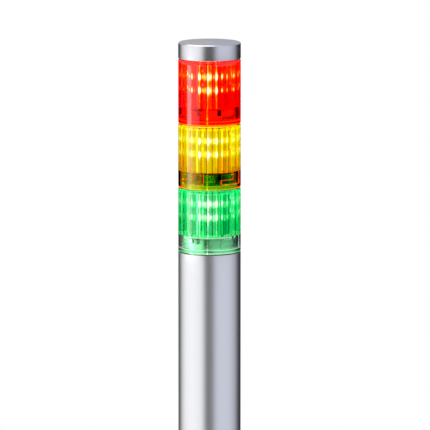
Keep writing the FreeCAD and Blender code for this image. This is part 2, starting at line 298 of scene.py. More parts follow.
class Graph(Tree):
    """The node tree of one material, round its Principled shader."""

    def __init__(self, name: str) -> None:
        """Starts a material.

        Args:
            name: The material's name.
        """
        self.material = bpy.data.materials.new(name)
        self.material.use_nodes = True
        super().__init__(self.material.node_tree)
        self.shader = self.tree.nodes["Principled BSDF"]

    def set(self, **values: object) -> None:
        """Sets inputs of the Principled shader, named with underscores for spaces."""
        for key, value in values.items():
            self.put(self.shader.inputs[key.replace("_", " ")], value)

    def glow(self, light: Paint, strength: float = 1.0) -> None:
        """Lets the surface send out a light."""
        self.set(Emission_Color=light, Emission_Strength=strength)

    def surface(self, shader: bpy.types.NodeSocket) -> None:
        """Makes a shader's output the surface."""
        self.tree.links.new(shader, self.tree.nodes["Material Output"].inputs["Surface"])

    def place(self) -> Output:
        """The point on the piece, in its own coordinates."""
        return Output(self, self.node("TexCoord").outputs["Object"])

    def polar(self) -> Polar:
        """The point on the piece, seen from the tower's axis.

        Returns:
            Its distance, angle and height.
        """
        split = self.node("SeparateXYZ")
        self.put(split.inputs[0], self.place())
        x, y, z = (Number(self, part) for part in split.outputs)
        distance = self.maths("SQRT", x * x + y * y)
        turn = self.maths("ARCTAN2", x, y * -1.0)
        return Polar(distance * (1 / MM), turn * (1 / DEGREE), z * (1 / MM))

    def vector(self, x: Value, y: Value, z: Value) -> Output:
        """A vector from three parts."""
        made = self.node("CombineXYZ")
        for socket, value in zip(made.inputs, (x, y, z)):
            self.put(socket, value)
        return Output(self, made.outputs[0])

    def stretched(self, x: float, y: float, z: float) -> Output:
        """The point with each of its parts multiplied."""
        made = self.node("Mapping")
        self.put(made.inputs["Vector"], self.place())
        made.inputs["Scale"].default_value = (x, y, z)
        return Output(self, made.outputs[0])

    def noise(self, where: Output, scale: float = 1.0, detail: float = 2.0) -> Number:
        """Smooth noise from 0 to 1.

        Args:
            where: The vector that it is read at.
            scale: How fine it is.
            detail: How many finer layers it holds.

        Returns:
            The noise.
        """
        made = self.node("TexNoise")
        self.put(made.inputs["Vector"], where)
        made.inputs["Scale"].default_value = scale
        made.inputs["Detail"].default_value = detail
        return Number(self, made.outputs["Fac"])

    def chance(self, value: Number, seed: float) -> Number:
        """A steady random number from 0 to 1 for each whole value.

        Args:
            value: A whole number.
            seed: Makes one set differ from another.

        Returns:
            The random number.
        """
        made = self.node("TexWhiteNoise", noise_dimensions="2D")
        self.put(made.inputs["Vector"], self.vector(value, seed, 0.0))
        return Number(self, made.outputs["Value"])

    def curve(self, value: Number, corners: list[Range], path: Path = Path.SLOPES) -> Number:
        """Reads a number off a curve.

        Args:
            value: Where it is read, from 0 to 1.
            corners: The place and the height of each corner, both from 0 to 1.
            path: How it goes from one to the next.

        Returns:
            The height there.
        """
        made = self.node("ValToRGB")
        made.color_ramp.interpolation = path.value
        elements = made.color_ramp.elements
        while len(elements) < len(corners):
            elements.new(0.5)
        for element, (place, height) in zip(elements, corners):
            element.position = place
            element.color = (height, height, height, 1.0)
        self.put(made.inputs[0], value)
        return Number(self, made.outputs["Color"])

    def bump(self, height: Number, depth: float) -> None:
        """Adds a fine relief to the shader.

        Args:
            height: The relief, from 0 to 1.
            depth: Its depth in metres.
        """
        made = self.node("Bump")
        made.inputs["Strength"].default_value = 1.0
        made.inputs["Distance"].default_value = depth
        self.put(made.inputs["Height"], height)
        self.set(Normal=Output(self, made.outputs[0]))


# -------------------------------------------------------------------------------------- finishes


def shaded(colour: Colour, share: float, lift: float = 0.0) -> Colour:
    """A colour made darker or lighter."""
    return tuple(min(1.0, share * part + lift) for part in colour)


@dataclass(frozen=True)
class SatinMetal:
    """Satin anodised aluminium with faint lines along its length."""

    name: str = "satin_tube"
    colour: Colour = (0.80, 0.805, 0.83)
    dark_share: float = 0.93
    roughness: Range = (0.25, 0.35)
    line_scale: float = 2600.0
    line_stretch: float = 0.01
    line_share: float = 0.7
    line_depth: float = 1.5e-6
    cloud_scale: float = 60.0

    def material(self) -> bpy.types.Material:
        """Builds the material."""
        graph = Graph(self.name)
        lines = graph.noise(graph.stretched(1.0, 1.0, self.line_stretch), self.line_scale, 3.0)
        cloud = graph.noise(graph.place(), self.cloud_scale)
        shade = graph.mix(self.line_share, cloud, lines)
        graph.set(
            Base_Color=graph.blend(shade, shaded(self.colour, self.dark_share), self.colour),
            Metallic=1.0,
            Roughness=shade.level(*self.roughness),
        )
        graph.bump(lines, self.line_depth)
        return graph.material


@dataclass(frozen=True)
class SilverLacquer:
    """Silver lacquer on a moulding, with a fine metallic grain and perhaps a pale gate mark."""

    name: str = "silver_lacquer"
    colour: Colour = (0.70, 0.70, 0.735)
    dark_share: float = 0.9
    roughness: float = 0.28
    grain_scale: float = 9000.0
    grain_depth: float = 1.2e-6
    cloud_scale: float = 90.0
    gate_radius: float = 0.0
    gate_edge: float = 0.3
    gate_share: float = 0.8
    gate_colour: Colour = (0.97, 0.97, 0.98)

    def material(self) -> bpy.types.Material:
        """Builds the material, with the gate mark on the tower's axis."""
        graph = Graph(self.name)
        grain = graph.noise(graph.place(), self.grain_scale, 1.0)
        cloud = graph.noise(graph.place(), self.cloud_scale)
        lacquer = graph.blend(grain.step(0.35, 0.65), shaded(self.colour, self.dark_share), self.colour)
        if self.gate_radius:
            mark = graph.polar().distance.step(self.gate_radius, self.gate_radius - self.gate_edge)
            lacquer = graph.blend(mark * self.gate_share, lacquer, self.gate_colour)
        graph.set(
            Base_Color=lacquer,
            Metallic=1.0,
            Roughness=cloud.level(self.roughness - 0.03, self.roughness + 0.05),
        )
        graph.bump(grain, self.grain_depth)
        return graph.material


@dataclass(frozen=True)
class Moulding:
    """Opaque moulded plastic or rubber with a fine texture."""

    name: str
    colour: Colour
    roughness: float
    grain_scale: float = 4000.0
    grain_depth: float = 6e-6
    cloud_scale: float = 150.0

    def material(self) -> bpy.types.Material:
        """Builds the material."""
        graph = Graph(self.name)
        grain = graph.noise(graph.place(), self.grain_scale)
        cloud = graph.noise(graph.place(), self.cloud_scale)
        graph.set(
            Base_Color=graph.blend(cloud, self.colour, shaded(self.colour, 1.18, 0.004)),
            Roughness=grain.level(self.roughness - 0.08, self.roughness + 0.08),
        )
        graph.bump(grain, self.grain_depth)
        return graph.material


@dataclass(frozen=True)
class BareMetal:
    """A small bare metal part: brass, bronze, gold flash or zinc plate."""

    name: str
    colour: Colour
    roughness: float
    mark_scale: float = 2500.0
    mark_stretch: float = 6.0
    mark_depth: float = 2e-6

    def material(self) -> bpy.types.Material:
        """Builds the material."""
        graph = Graph(self.name)
        marks = graph.noise(graph.stretched(1.0, 1.0, self.mark_stretch), self.mark_scale, 3.0)
        graph.set(
            Base_Color=graph.blend(marks, shaded(self.colour, 0.75), self.colour),
            Metallic=1.0,
            Roughness=marks.level(self.roughness - 0.08, self.roughness + 0.12),
        )
        graph.bump(marks, self.mark_depth)
        return graph.material


@dataclass(frozen=True)
class Board:
    """A circuit board: solder mask over a faint pattern of tracks.

    Attributes:
        name: The material's name.
        mask: The solder mask between the tracks.
        track: The mask over a track.
        light: What the board gives back of the lamps' light.
        pitch: From track to track, in metres.
    """

    name: str
    mask: Colour
    track: Colour
    light: Colour = BLACK
    pitch: float = 0.0016

    def material(self) -> bpy.types.Material:
        """Builds the material."""
        graph = Graph(self.name)
        cells = graph.node("TexBrick")
        graph.put(cells.inputs["Vector"], graph.place())
        cells.inputs["Scale"].default_value = 0.25 / self.pitch
        cells.inputs["Mortar Size"].default_value = 0.04
        tracks = Number(graph, cells.outputs["Fac"])
        weave = graph.noise(graph.place(), 5000.0)
        cloth = graph.blend(weave * 0.4, self.mask, self.track)
        graph.set(
            Base_Color=graph.blend(tracks * 0.6, cloth, self.track),
            Roughness=weave.level(0.30, 0.42),
            Coat_Weight=0.3,
        )
        # painted light: the lamps' light on the board, sent out as a glow
        graph.glow(graph.paint(self.light, weave.level(0.8, 1.2)))
        graph.bump(tracks, 1e-5)
        return graph.material


@dataclass(frozen=True)
class CarrierFinish:
    """The carrier's plastic, with the lamps' light painted on as a glow over its core and its disc, which may
    look pale or dark.

    Attributes:
        name: The material's name.
        top: Height of the disc's upper face above the ground, in millimetres.
        plastic: The colour of the plastic.
        core: What the core gives back of the lamps' light.
        disc: What the disc gives back of it.
        edge: Half the height over which one goes into the other.
    """

    name: str
    top: float
    plastic: Colour
    core: Colour
    disc: Colour
    edge: float = 0.02

    def material(self) -> bpy.types.Material:
        """Builds the material."""
        graph = Graph(self.name)
        grain = graph.noise(graph.place(), 4000.0)
        above = graph.polar().height.step(self.top - self.edge, self.top + self.edge)
        light = graph.blend(above, self.disc, self.core)
        graph.set(
            Base_Color=graph.paint(self.plastic, grain.level(0.85, 1.1)),
            Roughness=grain.level(0.40, 0.55),
        )
        # painted light: the lamps' light on the core and the disc, sent out as a glow
        graph.glow(graph.paint(light, grain.level(0.85, 1.15)))
        graph.bump(grain, 6e-6)
        return graph.material


@dataclass(frozen=True)
class LampGlow:
    """A lit phosphor window.

    Attributes:
        name: The material's name.
        light: The colour it gives.
        strength: How bright it is.
    """

    name: str
    light: Colour
    strength: float

    def material(self) -> bpy.types.Material:
        """Builds the material."""
        graph = Graph(self.name)
        grain = graph.noise(graph.place(), 3500.0)
        phosphor = graph.blend(grain * 0.5, (0.9, 0.88, 0.7), (0.82, 0.80, 0.66))
        graph.set(Base_Color=phosphor, Roughness=0.4)
        graph.glow(graph.paint(self.light, grain.level(0.85, 1.1)), self.strength)
        return graph.material


@dataclass(frozen=True)
class SealFinish:
    """A dark silicone seal, with the light of the tier below painted on as a glow at the front and the back.
    """

    name: str
    leak: Colour

    def material(self) -> bpy.types.Material:
        """Builds the material."""
        graph = Graph(self.name)
        open_side = graph.polar().turn.front_and_back(0.42, 0.68)
        grain = graph.noise(graph.place(), 2500.0)
        graph.set(
            Base_Color=graph.blend(grain, (0.012, 0.012, 0.014), (0.02, 0.02, 0.022)),
            Roughness=grain.level(0.5, 0.7),
        )
        # painted light: the tier below's light on the seal, at the front and the back
        graph.glow(graph.paint(self.leak, open_side * grain.level(0.8, 1.1)))
        return graph.material


# ------------------------------------------------------------------------------------ lit lenses


@dataclass(frozen=True)
class LensColours:
    """The colours of one tier, as they look when it is lit; all but tint and skirt are painted light.

    Attributes:
        tint: The thick plastic round the prisms; light takes this colour when it goes through once.
        skirt: The same for the thin wall of the skirt.
        dark: Painted light at its dimmest, in the grooves between the prisms.
        body: Painted light on most of a prism's face.
        bright: A face that a lamp shines on.
        warm: Round a lamp's image.
        hot: The middle of a lamp's image.
        lamp: A lamp's own light.
        edge: Painted light along the edges of the ribs.
        rim: Painted light on the skirt's lower edge where it faces out of the lamps' way.
        rim_lit: The same at the front and the back.
        collar: Painted light of the collar at the foot of the neck.
        neck: Painted light that the neck passes on.
        leak: The light at the shoulder, round the seal.
        sill_highlight: A painted highlight: the line round the skirt at the ribs' lower edge.
        skirt_glow: A painted glow over the skirt's own wall.
        card_glow: Painted light of the bright cards on the side of the skirt that faces them.
    """

    tint: Colour
    skirt: Colour
    dark: Colour
    body: Colour
    bright: Colour
    warm: Colour
    hot: Colour
    lamp: Colour
    edge: Colour
    rim: Colour
    rim_lit: Colour
    collar: Colour
    neck: Colour
    leak: Colour
    sill_highlight: Colour = BLACK
    skirt_glow: Colour = BLACK
    card_glow: Colour = BLACK


@dataclass(frozen=True)
class LensPlace:
    """Where a lens stands.

    Attributes:
        foot: Height of its lower edge above the ground, in millimetres.
        shoulder: Height of its shoulder above that edge.
        rows: Heights of the two lamp rows above that edge, the upper one first.
    """

    foot: float
    shoulder: float
    rows: Range


@dataclass(frozen=True)
class LensFinish:
    """Clear tinted plastic, with the lamps' light in its prisms and skirt painted on as a glow.

    Heights are in millimetres above the lens's lower edge, and angles in degrees.

    Attributes:
        colours: Its colours.
        neck_even: How evenly the neck is lit, from 0 to 1.
        seed: Makes one lens's pattern differ from another's.
        halo: How strong the glow along the rows is, and how much of it reaches between the columns.
        streak: How strong the thin bright lines painted along the prisms are.
        windows: The patches of painted shade in the skirt: angle, half width and depth of tone.
        shade_patch_rise: Their heights.
        skirt: Depth of the clear skirt.
        prisms: How many prisms there are.
        columns: How many columns of lamps there are.
        gain: What a prism's face sends out for its full colour to be seen.
        face_light: How bright each tenth of a column is.
        column_light: How bright each column is, from the front to the right.
        stops: The levels of light at which each colour of a prism begins and is full.
        glint: The half prism that catches a lamp of the next column.
        seam: Angle of a thin bright line painted along the lens and its skirt: a painted highlight.
        bright_side: Where the bright cards stand, to the left.
        card_side_span: The part of the skirt that faces the bright cards and gets their painted light.
        barrel: Inner and outer radius of the prisms.
        rib_face: Radius of the ribs' inner face.
        skirt_face: Radius of the skirt's inner face.
        rib_low: Height of the ribs' lower edge.
        shelf_high: Height of the shelves' upper face.
        shelf_start: Angle at which a rib's shelf begins; it runs up to the stop block.
        stop: Angles at which a rib's stop block begins and ends.
        rib_pitch: Angle from rib to rib.
        row_width: How far up and down a row's wide light reaches.
        glow_width: The same for the glow along it.
        image_width: The same for the lamps' images.
        soft: How far the light on a face fades out beyond it.
    """

    colours: LensColours
    neck_even: float
    seed: float
    halo: Range = (0.34, 0.1)
    streak: float = 0.5
    windows: tuple[tuple[float, float, float], ...] = ((19.0, 3.4, 0.95), (27.5, 1.2, 0.4), (68.0, 2.6, 0.6))
    shade_patch_rise: Range = (4.9, 7.6)
    skirt: float = 8.25
    prisms: int = 30
    columns: int = 6
    gain: float = 0.5
    face_light: tuple[float, ...] = (0.10, 0.86, 0.22, 0.06, 1.0, 0.27, 0.12, 0.92, 0.15, 0.42)
    column_light: tuple[float, ...] = (1.0, 0.27, 0.3, 0.3, 0.3, 0.16)
    stops: tuple[tuple[float, float, str], ...] = (
        (0.12, 0.42, "body"), (0.48, 0.70, "bright"), (0.70, 0.95, "warm"), (0.95, 1.35, "hot"),
    )
    glint: float = 54.0
    seam: float = -4.4
    bright_side: float = 22.0
    card_side_span: Range = (-72.0, -18.0)
    barrel: Range = (9.9, 13.0)
    rib_face: float = 12.7
    skirt_face: float = 13.6
    rib_low: float = 2.2
    shelf_high: float = 4.8
    shelf_start: float = 24.0
    stop: Range = (54.0, 78.0)
    rib_pitch: float = 90.0
    row_width: float = 2.4
    glow_width: float = 1.5
    image_width: float = 1.1
    soft: float = 0.03

    def emitted(self, colour: Colour, tint: Colour) -> Colour:
        """What has to be sent out for a colour to be seen through the plastic."""
        return tuple(part / math.sqrt(share) for part, share in zip(colour, tint))


class LensPainter:
    """Writes the node tree of one lens."""

    def __init__(self, name: str, finish: LensFinish, place: LensPlace) -> None:
        """Reads off where a point lies, in the lens and in its prism.

        Args:
            name: The material's name.
            finish: The lens's finish.
            place: Where it stands.
        """
        self.finish = finish
        self.place = place
        self.colours = finish.colours
        self.graph = Graph(name)
        self.distance, self.turn, level = self.graph.polar()
        self.height = level - place.foot
        self.below = self.height.step(finish.skirt + 0.12, finish.skirt + 0.06)
        self.sector = self.turn / (FULL_TURN / finish.columns) + (0.5 + finish.columns)
        self.along = self.turn * (finish.prisms / FULL_TURN) + (0.5 + finish.prisms)
        self.aside = abs(self.along.fraction() - 0.5)
        self.half = (self.along * 2.0).floor()
        self.middle = abs(self.aside - 0.25)
        self.seam = abs(self.turn - finish.seam)
        self.card_side = self.turn.band(*finish.card_side_span, 3.0)
        self.wave = self.noise(self.half, self.height * 0.22)
        self.ripple = self.noise(self.turn * 0.5, self.height * 0.30)
        self.face = self.staircase(self.sector.fraction(), finish.face_light)
        column = self.sector.floor().within(float(finish.columns))
        self.lamp = self.staircase((column + 0.5) * (1.0 / finish.columns), finish.column_light)

    def noise(self, x: Value, y: Value, seed: float = 0.0, detail: float = 2.0) -> Number:
        """Noise on a plane of this lens's own; the seed tells one plane from another."""
        return self.graph.noise(self.graph.vector(x, y, self.finish.seed + seed), 1.0, detail)

    def staircase(self, value: Number, levels: tuple[float, ...]) -> Number:
        """One level for each equal part of the range from 0 to 1."""
        corners = [(order / len(levels), level) for order, level in enumerate(levels)]
        return self.graph.curve(value, corners, Path.STAIRS)

    def rows(self, width: float) -> Number:
        """A band of light along both rows of lamps."""
        upper, lower = (self.height.bell(row, width) for row in self.place.rows)
        return upper + lower

    def bright_face(self) -> Number:
        """1 on the sides that face the bright cards and 0 on those that face the dark ones."""
        return (self.turn + self.finish.bright_side).front_and_back(0.66, 0.86)

    def open_side(self) -> Number:
        """1 at the front and the back and 0 at both sides."""
        return self.turn.front_and_back(0.42, 0.72)

    def plain_light(self) -> Number:
        """Painted light on the prisms' faces without the lamps' images, less in the grooves between them and
        on the sides turned from the bright cards.

        Returns:
            0 in a groove and about 0.5 on a face.
        """
        graph, finish = self.graph, self.finish
        card_facing = self.bright_face()
        bar_chance = graph.chance(self.along.floor(), finish.seed)
        half_chance = graph.chance(self.half, finish.seed + 5.0)
        depth = bar_chance.level(0.55, 0.98) * card_facing.level(1.0, 0.7)
        groove = 1.0 - (0.5 - self.aside).step(0.20, 0.06) * depth
        upper_row, lower_row = self.place.rows
        upper = self.height.step(lower_row - 4.0, upper_row)
        # painted shade: faces turned from the bright cards glow less, except in the upper part
        shade = card_facing.most(upper * 0.8).level(0.62, 1.12)
        plain = half_chance * 0.18 + self.face * self.lamp * 0.14 + self.wave * 0.20 + 0.24
        return plain * self.ripple.level(0.75, 1.25) * groove * shade + upper * self.wave * 0.12

    def row_light(self) -> Number:
        """The glow along the rows of lamps.

        Returns:
            What it adds to the level of light.
        """
        strength, between = self.finish.halo
        near = abs(self.sector.fraction() - 0.5).step(0.45, 0.2)
        halo = self.rows(self.finish.glow_width) * (near * self.lamp).level(between, 1.0)
        halo = halo * self.ripple.level(0.4, 1.6) * strength
        return self.rows(self.finish.row_width) * self.face * self.lamp * 0.22 + halo

    def line_light(self) -> Number:
        """The thin bright lines painted along the prisms, and the painted highlight line near the front.

        Returns:
            What they add to the level of light.
        """
        lit = (self.face.step(0.5, 1.0) * self.lamp).level(0.35, 1.0)
        line = self.middle.step(0.10, 0.03) * lit * self.wave * self.finish.streak
        return line + self.seam.step(1.3, 0.5) * self.wave.level(0.1, 0.45)

    def lamp_light(self) -> Number:
        """The lamps' images in the prisms.

        Returns:
            What they add to the level of light.
        """
        caught = self.graph.maths("COMPARE", self.half, self.finish.glint, 0.5)
        share = (self.face.step(0.15, 0.7) * self.lamp).most(caught * 0.75)
        return self.rows(self.finish.image_width) * self.middle.step(0.27, 0.12) * share * 1.5

    def prism_light(self) -> Paint:
        """The painted light that the prisms send out.

        Returns:
            A colour.
        """
        finish = self.finish
        level = self.plain_light() + self.row_light() + self.line_light() + self.lamp_light()
        colour = finish.emitted(self.colours.dark, self.colours.tint)
        for low, high, name in finish.stops:
            fuller = finish.emitted(getattr(self.colours, name), self.colours.tint)
            colour = self.graph.blend(level.step(low, high, Fade.SHARP), colour, fuller)
        around = self.distance.band(*finish.barrel, 0.05)
        upright = self.height.band(finish.skirt + 0.1, self.place.shoulder - 1.45, 0.05)
        return self.graph.paint(colour, around * upright * finish.gain)

    def within_rib(self) -> Number:
        """The angle within one pitch of the ribs."""
        return (self.turn + FULL_TURN).within(self.finish.rib_pitch)

    def rib_outline(self) -> Number:
        """The lines along the edges of the L-shaped ribs.

        Returns:
            1 on a line and 0 away from it.
        """
        finish = self.finish
        within = self.within_rib()
        arc = finish.rib_face * DEGREE
        shelf = (finish.shelf_start, finish.stop[1], finish.rib_low, finish.shelf_high)
        stop = (*finish.stop, finish.rib_low, finish.skirt + 4.0)
        gaps = []
        for start, end, low, high in (shelf, stop):
            aside = (abs(within - (start + end) / 2) - (end - start) / 2) * arc
            above = abs(self.height - (low + high) / 2) - (high - low) / 2
            gaps.append(aside.most(above))
        return gaps[0].least(gaps[1]).step(-0.55, -0.30)

    def outside_shade_patches(self) -> Number:
        """Where no patch of painted shade darkens the skirt.

        Returns:
            0 in a patch and 1 elsewhere.
        """
        within = self.within_rib()
        shade_patches = [
            within.band(angle - half, angle + half, 0.8) * depth for angle, half, depth in self.finish.windows
        ]
        return 1.0 - sum(shade_patches) * self.height.band(*self.finish.shade_patch_rise, 0.3)

    def neck_light(self) -> Paint:
        """The light that the neck and its collar pass on to the skirt above.

        Returns:
            A colour.
        """
        graph, finish = self.graph, self.finish
        above = self.height - self.place.shoulder
        patches = self.noise(self.turn * 0.30, self.height * 0.9, detail=3.0)
        uneven = (self.turn * 6.0).cosine().step(-0.3, 1.0) * patches.step(0.38, 0.62)
        facing = (self.turn + 8.0).cosine()
        facing = facing * facing
        bore = self.distance.band(11.0, 11.35, finish.soft) * above.step(2.5, 2.7)
        bore = bore * uneven.level(finish.neck_even, 1.0) * facing.level(0.3, 1.0)
        collar = self.distance.band(12.45, 13.5, finish.soft) * above.band(0.3, 2.42, 0.02)
        collar = collar * facing.level(0.2, 1.0) * patches.level(0.7, 1.3)
        neck_colour = finish.emitted(self.colours.neck, self.colours.tint)
        collar_colour = finish.emitted(self.colours.collar, self.colours.tint)
        return graph.paint(neck_colour, bore) + graph.paint(collar_colour, collar)

    def rib_light(self) -> Paint:
        """Painted light on the edges of the ribs, less on the side that faces the bright cards, and a painted
        highlight line round the skirt at their lower edge.

        Returns:
            A colour.
        """
        finish, skirt = self.finish, self.colours.skirt
        rib = self.distance.band(finish.rib_face - 0.08, finish.skirt_face - 0.05, finish.soft) * self.below
        rib = rib * self.rib_outline() * self.card_side.level(1.0, 0.3)
        # painted highlight: the line round the skirt at the ribs' lower edge
        sill_highlight = self.height.band(finish.rib_low - 0.35, finish.rib_low, 0.08) * self.distance.step(13.0, 13.5)
        edges = self.graph.paint(finish.emitted(self.colours.edge, skirt), rib)
        return edges + self.graph.paint(finish.emitted(self.colours.sill_highlight, skirt), sill_highlight)

    def skirt_light(self) -> Paint:
        """The painted glow of the skirt's wall, the bright cards' painted light on one side, the painted
        highlight line and the lit rim.

        Returns:
            A colour.
        """
        graph, finish, colours = self.graph, self.finish, self.colours
        mottle = self.noise(self.turn * 0.2, self.height * 0.8, seed=2.0)
        ceiling = self.height.band(finish.skirt - 0.03, finish.skirt + 0.03, 0.02)
        wall = self.distance.band(finish.skirt_face - 0.05, finish.skirt_face + 0.1, finish.soft)
        wall = wall.most(ceiling) * self.below
        stop_face = self.distance.band(finish.rib_face - 0.05, finish.rib_face + 0.05, finish.soft)
        stop_face = stop_face * self.below
        # painted light: a glow over the skirt's wall, left out in the patches of painted shade
        skirt_glow = wall * mottle.level(0.8, 1.15) * self.outside_shade_patches()
        # painted light: the bright cards' light on the side of the skirt that faces them
        card_glow_share = wall.most(stop_face) * mottle.level(0.5, 1.3) * self.card_side
        blobs = self.noise(0.0, self.height * 0.7, seed=9.0, detail=1.0).step(0.36, 0.6)
        blobs = blobs * self.height.step(5.5, 2.5).level(0.35, 1.0)
        # painted highlight: the bright line down the skirt near the front
        seam = wall * self.seam.step(2.0, 0.4) * blobs.level(0.03, 0.42)
        # painted light: the glowing rim at the skirt's lower edge, brighter at the front and the back
        rim = self.height.step(0.62, 0.42) * self.distance.step(finish.skirt_face - 0.05, finish.skirt_face)
        rim_colour = graph.blend(self.open_side(), colours.rim, colours.rim_lit)
        light = graph.paint(colours.skirt_glow, skirt_glow) + graph.paint(colours.card_glow, card_glow_share)
        light = light + graph.paint(finish.emitted(colours.warm, colours.skirt), seam)
        return light + graph.paint(rim_colour, rim)

    def shoulder_light(self) -> Paint:
        """The light at the shoulder's edge, round the seal, and in the solid web below it.

        Returns:
            A colour.
        """
        graph = self.graph
        top = self.place.shoulder
        bars = (0.5 - self.aside).step(0.04, 0.22)
        edge = self.distance.step(13.55, 13.65) * self.height.band(top - 0.36, top + 0.01, 0.04)
        edge = edge * self.open_side() * self.bright_face().level(0.3, 1.0) * bars.level(0.5, 1.1)
        web = self.distance.step(14.9, 14.97) * self.height.band(top - 1.7, top - 0.36, 0.3)
        streaks = graph.noise(graph.vector(self.turn * 0.35, self.finish.seed, 0.0))
        web = web * bars * streaks.level(0.1, 1.0)
        return graph.paint(self.colours.leak, edge) + graph.paint(self.colours.body, web)

    def material(self) -> bpy.types.Material:
        """Builds the material."""
        graph, colours = self.graph, self.colours
        plastic = graph.blend(self.below, colours.tint, colours.skirt)
        smooth = graph.noise(graph.place(), 400.0)
        graph.set(
            # painted shade: the tint is darker in the patches
            Base_Color=graph.paint(plastic, self.outside_shade_patches()),
            Transmission_Weight=1.0,
            IOR=1.5,
            Roughness=smooth.level(0.02, 0.05),
        )
        # painted light: the whole glow of the lens stands in for the lamps' and the cards' light in it
        light = self.prism_light() + self.neck_light() + self.rib_light()
        graph.glow(light + self.skirt_light() + self.shoulder_light())
        return graph.material


# ---------------------------------------------------------------------------------------- pieces


def dress(names: list[str], material: bpy.types.Material, nodes: dict[str, bpy.types.Object]) -> None:
    """Gives CAD nodes a material.

    Args:
        names: The nodes.
        material: What they get.
        nodes: The frame's nodes.
    """
    for name in names:
        mesh = nodes[name].data
        mesh.materials.clear()
        mesh.materials.append(material)
    LOG.info("%s on %s", material.name, ", ".join(names))


def make_object(name: str, mesh: bmesh.types.BMesh, material: bpy.types.Material) -> bpy.types.Object:
    """Makes an object of a mesh.

    Args:
        name: The object's name.
        mesh: Its mesh, which is used up.
        material: Its material.

    Returns:
        The new object.
    """
    data = bpy.data.meshes.new(name)
    mesh.to_mesh(data)
    mesh.free()
    data.materials.append(material)
    made = bpy.data.objects.new(name, data)
    bpy.context.scene.collection.objects.link(made)
    return made


@dataclass(frozen=True)
class Block:
    """A rounded block, in metres.

    Attributes:
        size: Its width, depth and height.
        rounding: How far its edges are rounded.
        segments: How many faces a rounded edge has.
    """

    size: Vector
    rounding: float
    segments: int = 2

    def add(self, mesh: bmesh.types.BMesh, place: Vector, turns: list[float]) -> None:
        """Adds one block for each turn about the tower's axis.

        Args:
            mesh: The mesh that takes them.
            place: A block's middle before it is turned.
            turns: The turns in radians.
        """
        for turn in turns:
            matrix = Matrix.Rotation(turn, 4, "Z") @ Matrix.Translation(place)
            matrix = matrix @ Matrix.Diagonal((*self.size, 1.0))
            made = bmesh.ops.create_cube(mesh, size=1.0, matrix=matrix)
            edges = list({edge for vert in made["verts"] for edge in vert.link_edges})
            bmesh.ops.bevel(
                mesh, geom=edges, offset=self.rounding, offset_type="OFFSET", segments=self.segments,
                profile=0.5, affect="EDGES", clamp_overlap=True,
            )


@dataclass(frozen=True)
class StripParts:
    """The small parts on one module's six upright strips: lamp windows, solder joints and resistors.

    Attributes:
        tier: The module.
        light: The lamps' colour.
        row_drops: How far the lamp rows lie below the shoulder, in millimetres.
        window: The phosphor window in a lamp's face.
        pad: The solder joint at a lamp's side.
        chip: A resistor's body.
        end: Its tinned end.
        lamp_depth: From a lamp's face to its strip.
        pad_aside: From a lamp's middle to its solder joints.
        strips: How many strips there are.
        window_strength: How bright the windows are.
    """

    tier: Tier
    light: Colour
    row_drops: Range
    window: Block = Block(Vector((2.2, 0.24, 2.0)) * MM, 0.1 * MM, 3)
    pad: Block = Block(Vector((0.55, 0.22, 1.9)) * MM, 0.08 * MM)
    chip: Block = Block(Vector((1.3, 0.45, 0.8)) * MM, 0.06 * MM)
    end: Block = Block(Vector((0.3, 0.49, 0.84)) * MM, 0.05 * MM)
    lamp_depth: float = 1.2 * MM
    pad_aside: float = 1.7 * MM
    strips: int = 6
    window_strength: float = 1.5

    def piece(self, part: str, mesh: bmesh.types.BMesh, material: bpy.types.Material) -> None:
        """Makes a piece that rides the module.

        Args:
            part: The piece's name after the tier's.
            mesh: Its mesh.
            material: Its material.
        """
        thing = make_object(f"{self.tier.value}_{part}", mesh, material)
        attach(thing, f"{self.tier.value}_module")
        LOG.info("%s built", thing.name)

    def build(self, zinc: bpy.types.Material, black: bpy.types.Material) -> None:
        """Builds the windows, the solder joints and the resistors.

        Args:
            zinc: Tinned metal.
            black: The resistors' glazed body.
        """
        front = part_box(f"{self.tier.value}_leds")[0].y
        board = front + self.lamp_depth
        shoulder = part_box(f"{self.tier.value}_seal")[0].z
        upper, lower = (shoulder - drop * MM for drop in self.row_drops)
        turns = [math.tau * order / self.strips for order in range(self.strips)]
        windows, metal, bodies = bmesh.new(), bmesh.new(), bmesh.new()
        for row in (upper, lower):
            self.window.add(windows, Vector((0.0, front, row)), turns)
            for side in (-self.pad_aside, self.pad_aside):
                self.pad.add(metal, Vector((side, board, row)), turns)
        half_pitch = (upper - lower) / 2
        for level in (lower + half_pitch, lower - half_pitch):
            middle = Vector((0.0, board - self.chip.size.y / 2, level))
            self.chip.add(bodies, middle, turns)
            for side in (-self.chip.size.x / 2, self.chip.size.x / 2):
                self.end.add(metal, middle + Vector((side, 0.0, 0.0)), turns)
        glow = LampGlow(f"{self.tier.value}_window_light", self.light, self.window_strength)
        self.piece("lamp_windows", windows, glow.material())
        self.piece("solder_joints", metal, zinc)
        self.piece("resistors", bodies, black)


